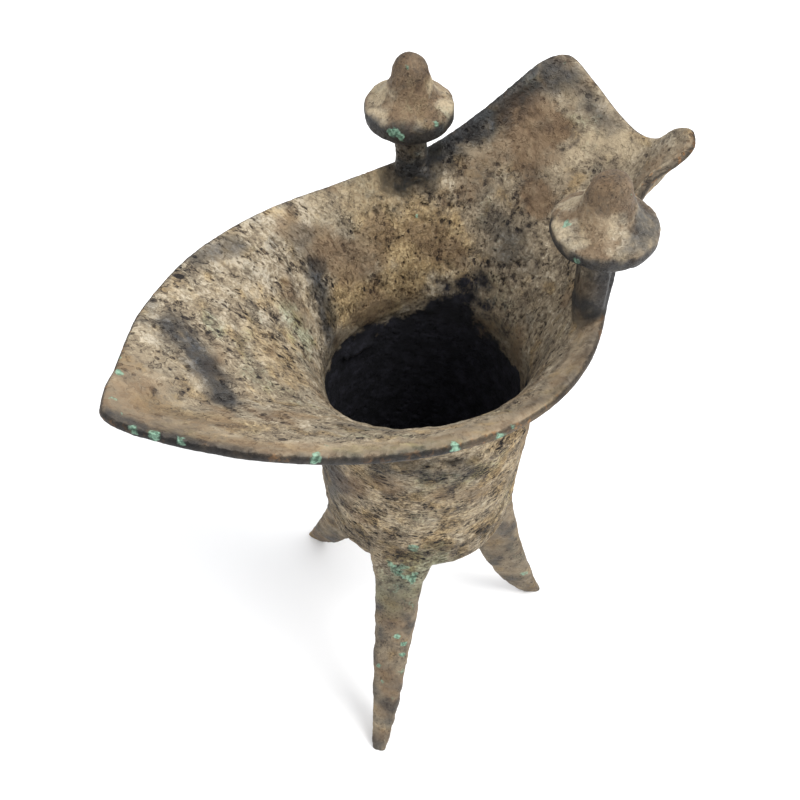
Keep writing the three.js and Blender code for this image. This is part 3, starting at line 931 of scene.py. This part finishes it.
def build_vessel():
    surface = middle_surface(SKIN_PER_STATION, *SKIN_ROWS)
    cutter = middle_surface(CUTTER_PER_STATION, *CUTTER_ROWS)
    room = temporary("room", *cup_room(cutter, CUTTER_ROWS[0] + CUTTER_ROWS[1]))
    fill = temporary("fill", *inside_fill(cutter))
    roots = [cut(form, room, "DIFFERENCE") for form in [leg(*spec) for spec in LEGS] + [handle()]]
    stems = [cut(post_stem(post), fill, "INTERSECT") for post in POSTS]
    drop(room, fill)
    caps = [post_cap(post) for post in POSTS]
    mesh = cast_together([vessel_shell(surface)] + roots + stems + caps)
    relax(mesh, RELAX_ROUNDS)
    flat_feet(mesh)
    set_coordinates(mesh, raise_relief(coordinates(mesh), normals_of(mesh), *box_corners()))
    return mesh


# Thins the mesh out to at most MOST_TRIANGLES triangles
def thin_out(mesh):
    mesh.calc_loop_triangles()
    triangles = len(mesh.loop_triangles)
    if triangles <= MOST_TRIANGLES:
        return mesh
    thing = put("thin", mesh)
    modifier = thing.modifiers.new("thin", "DECIMATE")
    modifier.ratio = MOST_TRIANGLES / triangles
    result = applied(thing)
    drop(thing)
    return result


def add_layer(mesh, name, kind, field, values):
    layer = mesh.attributes.new(name, kind, "POINT")
    layer.data.foreach_set(field, values.astype(np.float32).ravel())


def jue_object():
    mesh = thin_out(build_vessel())
    low, high = box_corners()
    points = np.clip(coordinates(mesh), low + BOX_MARGIN, high - BOX_MARGIN)
    masks, _, grain, _ = surface_masks(points, normals_of(mesh))
    for name, values in masks.items():
        add_layer(mesh, name, "FLOAT", "value", values)
    add_layer(mesh, "grain", "FLOAT_VECTOR", "vector", grain)
    set_coordinates(mesh, (points + np.array([AXIS_X, 0, 0])) * MM)
    for polygon in mesh.polygons:
        polygon.use_smooth = True
    return put("jue_cast", mesh)


# The surface's own linear colour for a colour as it looks under the studio light
SEEN_SCALE = 0.82


def seen(red, green, blue):
    values = [((c / 255 + 0.055) / 1.055) ** 2.4 if c > 10 else c / 255 / 12.92 for c in (red, green, blue)]
    return tuple(value * SEEN_SCALE for value in values) + (1,)


class Shader:
    def __init__(self, name):
        self.material = bpy.data.materials.new(name)
        self.material.use_nodes = True
        self.tree = self.material.node_tree
        self.tree.nodes.clear()
        self.surface = self.node("BsdfPrincipled")
        self.feed(self.node("OutputMaterial").inputs[0], self.surface.outputs[0])

    def feed(self, socket, value):
        if isinstance(value, bpy.types.NodeSocket):
            self.tree.links.new(value, socket)
        else:
            socket.default_value = value

    def fill(self, node, sockets):
        for socket, value in sockets.items():
            self.feed(node.inputs[socket], value)

    def node(self, kind, sockets=None, **settings):
        node = self.tree.nodes.new("ShaderNode" + kind)
        for name, value in settings.items():
            setattr(node, name, value)
        self.fill(node, sockets or {})
        return node

    def layer(self, name, output):
        return self.node("Attribute", attribute_name=name).outputs[output]

    def value(self, name):
        return self.layer(name, "Fac")

    # Position on the object in millimetres
    def place(self):
        return self.scaled(self.node("TexCoord").outputs["Object"], 1 / MM)

    def move(self, operation, first, second):
        return self.node("VectorMath", {0: first, 1: second}, operation=operation).outputs[0]

    def scaled(self, vector, scale):
        return self.node("VectorMath", {0: vector, "Scale": scale}, operation="SCALE").outputs[0]

    def noise_node(self, vector, size, detail, rough):
        sockets = {"Vector": vector, "Scale": 1 / size, "Detail": detail, "Roughness": rough}
        return self.node("TexNoise", sockets)

    def noise(self, vector, size, detail, rough):
        return self.noise_node(vector, size, detail, rough).outputs["Fac"]

    # A position pushed about by noise, so that nothing keeps a clean edge
    def warped(self, vector, size, reach):
        colour = self.noise_node(vector, size, 2, 0.5).outputs["Color"]
        return self.move("ADD", vector, self.scaled(self.move("SUBTRACT", colour, (0.5, 0.5, 0.5)), reach))

    def cells(self, vector, size):
        return self.node("TexVoronoi", {"Vector": vector, "Scale": 1 / size}).outputs["Distance"]

    def math(self, operation, first, second=0.0):
        return self.node("Math", {0: first, 1: second}, operation=operation).outputs[0]

    def times(self, first, second):
        return self.math("MULTIPLY", first, second)

    def plus(self, first, second):
        return self.math("ADD", first, second)

    # Sum of terms: each a value about its middle, and a strength
    def total(self, terms, start=0.0):
        for value, middle, strength in terms:
            offset = self.math("SUBTRACT", value, middle) if middle else value
            start = self.node("Math", {0: offset, 1: strength, 2: start}, operation="MULTIPLY_ADD").outputs[0]
        return start

    def ramp(self, value, low, high, to_low=0.0, to_high=1.0):
        sockets = {"Value": value, "From Min": low, "From Max": high, "To Min": to_low, "To Max": to_high}
        return self.node("MapRange", sockets, interpolation_type="SMOOTHSTEP").outputs["Result"]

    def tones(self, value, stops):
        node = self.node("ValToRGB", {"Fac": value})
        elements = node.color_ramp.elements
        for number, (place, colour) in enumerate(stops):
            element = elements[number] if number < 2 else elements.new(place)
            element.position = place
            element.color = seen(*colour)
        return node.outputs["Color"]

    def mix(self, share, first, second, mode="MIX"):
        return self.node("Mix", {0: share, 6: first, 7: second}, data_type="RGBA", blend_type=mode).outputs[2]

    def bump(self, height, distance, strength):
        sockets = {"Strength": strength, "Distance": distance, "Height": height}
        return self.node("Bump", sockets).outputs["Normal"]


# Colours as they look under the studio light, dark to pale, and tints that multiply them
CRUST_TONES = [
    (0.0, (38, 34, 32)), (1.0, (206, 192, 168)), (0.18, (68, 60, 53)), (0.36, (100, 88, 74)),
    (0.52, (131, 117, 97)), (0.7, (158, 143, 119)), (0.86, (180, 165, 140)),
]
BROWN_TONES = [(0.0, (52, 41, 32)), (1.0, (148, 126, 98)), (0.45, (96, 76, 57)), (0.7, (122, 99, 75))]
PALE_EARTH = (seen(190, 172, 142), seen(222, 208, 182))
MINT_GREEN = (seen(92, 132, 110), seen(156, 196, 170))
# Near-black of the throat: partly its dark surface, partly painted shade
THROAT_DARK_AND_SHADE = (seen(13, 14, 23), seen(40, 40, 50))
RUST = seen(168, 122, 76)
OCHRE_TINT = (1.0, 0.85, 0.58, 1)
GREY_TINT = (0.84, 0.9, 0.98, 1)
GREEN_TINT = (0.84, 1.06, 1.02, 1)
EDGE_TINT = (0.3, 0.29, 0.3, 1)
# Multiplies in the dark blue-grey film, and the painted shade under the caps and behind the handle
FILM_AND_SHADE_TINT = (0.13, 0.162, 0.245, 1)
BUMP_HEIGHT = 0.75 * MM
DEEPEST_CALM = 0.75


# Fine layers: dark specks, pale flakes that partly stand in as painted highlights, thin creases and small
# pits
def detail_layers(s):
    place = s.warped(s.warped(s.place(), 5.0, 3.0), 1.2, 0.6)
    grain = s.warped(s.layer("grain", "Vector"), 1.5, 0.9)
    fine = s.noise(place, 1.0, 4, 0.62)
    medium = s.noise(place, 4.4, 4, 0.6)
    streak = s.noise(grain, 0.8, 4, 0.65)
    gate = s.noise(place, 6.5, 3, 0.6)
    lively = s.math("SUBTRACT", 1.0, s.times(s.value("calm"), DEEPEST_CALM))
    specks = s.ramp(s.total([(streak, 0.5, 1.0), (gate, 0.5, 0.7)]), 0.05, 0.12)
    # Pale flakes: partly pale dust, partly painted highlights on the crust's small ridges
    pale_flakes_and_highlights = s.ramp(s.total([(s.noise(grain, 1.1, 4, 0.7), 0.5, 1.0), (gate, 0.5, -0.5)]), 0.05, 0.1)
    crease = s.math("ABSOLUTE", s.math("SUBTRACT", s.noise(grain, 1.6, 3, 0.6), 0.5))
    crease = s.times(s.ramp(crease, 0.0, 0.03, 1.0, 0.0), s.ramp(gate, 0.44, 0.56))
    pits = s.times(s.ramp(s.cells(grain, 0.9), 0.2, 0.32, 1.0, 0.0), s.ramp(medium, 0.49, 0.58))
    hollows = s.times(s.ramp(s.cells(grain, 1.7), 0.17, 0.26, 1.0, 0.0), s.ramp(gate, 0.47, 0.53))
    pits = s.math("MAXIMUM", s.math("MAXIMUM", pits, hollows), s.times(s.value("pits"), 0.6))
    detail = s.total([(fine, 0.5, 1.0), (streak, 0.5, 0.55), (specks, 0, -0.18), (pale_flakes_and_highlights, 0, 0.15),
                      (crease, 0, -0.3), (pits, 0, -0.4)])
    ragged = s.total([(fine, 0.5, 0.7), (streak, 0.5, 0.6), (medium, 0.5, 0.9)])
    return SimpleNamespace(place=place, fine=fine, medium=medium, streak=streak, lively=lively, specks=specks,
                           pale_flakes_and_highlights=pale_flakes_and_highlights, crease=crease, pits=pits, ragged=ragged,
                           detail=s.times(detail, lively))


# A mask from the mesh with a ragged edge, ramped between two limits
def ragged_share(s, d, name, low, high, most):
    return s.ramp(s.plus(s.value(name), d.ragged), low, high, 0.0, most)


# Sandy crust with its ochre, pale and brown patches and grey and green films
def earth_colour(s, d):
    tone = s.total([(s.value("crust"), 0, 0.5), (d.medium, 0.5, 0.8), (d.detail, 0, 1.1)], start=0.37)
    colour = s.tones(tone, CRUST_TONES)
    colour = s.mix(ragged_share(s, d, "ochre", 0.05, 0.9, 0.85), colour, OCHRE_TINT, "MULTIPLY")
    pale = s.mix(d.detail, *PALE_EARTH)
    colour = s.mix(ragged_share(s, d, "pale", 0.15, 0.75, 0.75), colour, pale)
    brown_share = ragged_share(s, d, "brown", 0.12, 0.8, 0.9)
    brown = s.tones(s.total([(tone, 0, 0.7), (d.medium, 0, 0.5)]), BROWN_TONES)
    colour = s.mix(brown_share, colour, brown)
    grey = s.ramp(s.noise(d.place, 8, 3, 0.55), 0.5, 0.66, 0.0, 0.55)
    colour = s.mix(grey, colour, GREY_TINT, "MULTIPLY")
    colour = s.mix(ragged_share(s, d, "green", 0.2, 0.9, 0.8), colour, GREEN_TINT, "MULTIPLY")
    return colour, brown_share


# Dark edge of the rim, with rust in places
def dark_rim_edge(s, d, colour):
    edge = s.total([(s.value("edge"), 0, 1.0), (d.fine, 0.5, 0.8), (d.medium, 0.5, 0.9)])
    rust = s.times(s.ramp(edge, 0.2, 0.7), s.ramp(s.noise(d.place, 2.6, 3, 0.6), 0.56, 0.62))
    colour = s.mix(s.ramp(edge, 0.45, 0.95, 0.0, 0.85), colour, EDGE_TINT, "MULTIPLY")
    return s.mix(s.times(rust, 0.5), colour, RUST)


def mint_spots(s, d, colour):
    share = s.ramp(s.plus(s.value("mint"), s.times(d.ragged, 0.8)), 0.4, 0.85, 0.0, 0.85)
    mint = s.mix(s.ramp(d.fine, 0.4, 0.6), *MINT_GREEN)
    return s.mix(share, colour, mint), share


# Paints the throat near-black: its dark surface, deepened with painted shade
def dark_and_shaded_throat(s, d, colour):
    share = s.ramp(s.plus(s.value("throat"), s.times(d.ragged, 0.9)), 0.18, 0.62)
    soot = s.mix(s.ramp(d.medium, 0.42, 0.66), *THROAT_DARK_AND_SHADE)
    return s.mix(share, colour, soot)


def crusted_bronze():
    s = Shader("crusted_bronze")
    d = detail_layers(s)
    colour, brown = earth_colour(s, d)
    colour = dark_rim_edge(s, d, colour)
    # Dark film, and painted shade under the caps and behind the handle, multiplied into the colour
    film = s.plus(s.value("dark"), s.times(d.ragged, 0.45))
    colour = s.mix(s.ramp(film, 0.0, 1.0), colour, FILM_AND_SHADE_TINT, "MULTIPLY")
    colour, mint = mint_spots(s, d, colour)
    colour = dark_and_shaded_throat(s, d, colour)

    # Bare metal under the dark film and the smooth brown is glossier than the crust, and so are the places of
    # painted shade that share the film's mask
    bare = s.ramp(s.plus(film, s.times(brown, 0.5)), 0.25, 0.9)
    rough = s.total([(bare, 0, -0.28), (d.fine, 0.5, 0.3), (d.pits, 0, 0.1)], start=0.84)
    grain = s.total([(d.fine, 0, 0.75), (d.streak, 0, 0.45), (d.crease, 0, -0.3), (d.pits, 0, -0.5),
                     (d.specks, 0, -0.2), (d.pale_flakes_and_highlights, 0, 0.25)])
    height = s.total([(s.times(grain, d.lively), 0, 1.0), (d.medium, 0, 1.2), (mint, 0, 0.2)])
    s.fill(s.surface, {"Base Color": colour, "Roughness": rough, "Metallic": s.times(bare, 0.15),
                       "Specular IOR Level": 0.35, "Normal": s.bump(height, BUMP_HEIGHT, 1.0)})
    return s.material


# Pale floor just under the feet, in metres
FLOOR_HALF = 4.0
FLOOR_DROP = 0.0002
FLOOR_TONES = ((0.93, 0.93, 0.93, 1), (0.95, 0.95, 0.95, 1))


def floor_material():
    s = Shader("pale_floor")
    tone = s.noise(s.place(), 400, 2, 0.5)
    s.fill(s.surface, {"Base Color": s.mix(tone, *FLOOR_TONES), "Roughness": 0.9, "Specular IOR Level": 0.1})
    return s.material


def add_floor():
    corners = [(x * FLOOR_HALF, y * FLOOR_HALF, 0) for x, y in ((-1, -1), (1, -1), (1, 1), (-1, 1))]
    floor = put("floor", mesh_from("floor", corners, [(0, 1, 2, 3)]))
    floor.location.z = -FLOOR_DROP
    floor.data.materials.append(floor_material())


# Studio light: an even pale dome and a broad key light from the front right
DOME_COLOUR = (0.97, 0.98, 1.0, 1)
DOME_STRENGTH = 1.22
KEY_PLACE = (0.35, -0.8, 1.35)
KEY_TARGET = (0.0, 0.0, 0.12)
KEY_SIZE = 1.0
KEY_POWER = 19.0
KEY_COLOUR = (1.0, 0.99, 0.97)


def add_light():
    world = bpy.data.worlds.new("studio")
    world.use_nodes = True
    background = world.node_tree.nodes["Background"]
    background.inputs["Color"].default_value = DOME_COLOUR
    background.inputs["Strength"].default_value = DOME_STRENGTH
    bpy.context.scene.world = world
    data = bpy.data.lights.new("key", "AREA")
    data.shape = "DISK"
    data.size = KEY_SIZE
    data.energy = KEY_POWER
    data.color = KEY_COLOUR
    light = put("key", data)
    light.location = KEY_PLACE
    light.rotation_euler = (Vector(KEY_TARGET) - Vector(KEY_PLACE)).to_track_quat("-Z", "Y").to_euler()


# Camera at the photo's viewing angle, in millimetres round the cup's axis
CAMERA_PLACE = (-207.03, -196.85, 419.43)
CAMERA_RIGHT = (0.72269867, -0.69075697, 0.02369476)
CAMERA_UP = (0.49788534, 0.5440745, 0.67534667)
CAMERA_BACK = (-0.47939214, -0.47627486, 0.73711969)
CAMERA_FOCUS = 1497.63
SENSOR = 36.0
IMAGE_SIDE = 800


def add_camera():
    data = bpy.data.cameras.new("camera")
    data.sensor_width = SENSOR
    data.lens = CAMERA_FOCUS / IMAGE_SIDE * SENSOR
    data.clip_start = 0.01
    data.clip_end = 50
    camera = put("camera", data)
    turn = Matrix((CAMERA_RIGHT, CAMERA_UP, CAMERA_BACK)).transposed().to_4x4()
    place = (Vector(CAMERA_PLACE) + Vector((AXIS_X, 0, 0))) * MM
    camera.matrix_world = Matrix.Translation(place) @ turn
    bpy.context.scene.camera = camera


add_camera()
jue = jue_object()
jue.data.materials.append(crusted_bronze())
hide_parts("bronze_jue")
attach(jue, "root")
add_floor()
add_light()
bpy.context.scene.view_settings.view_transform = "Standard"
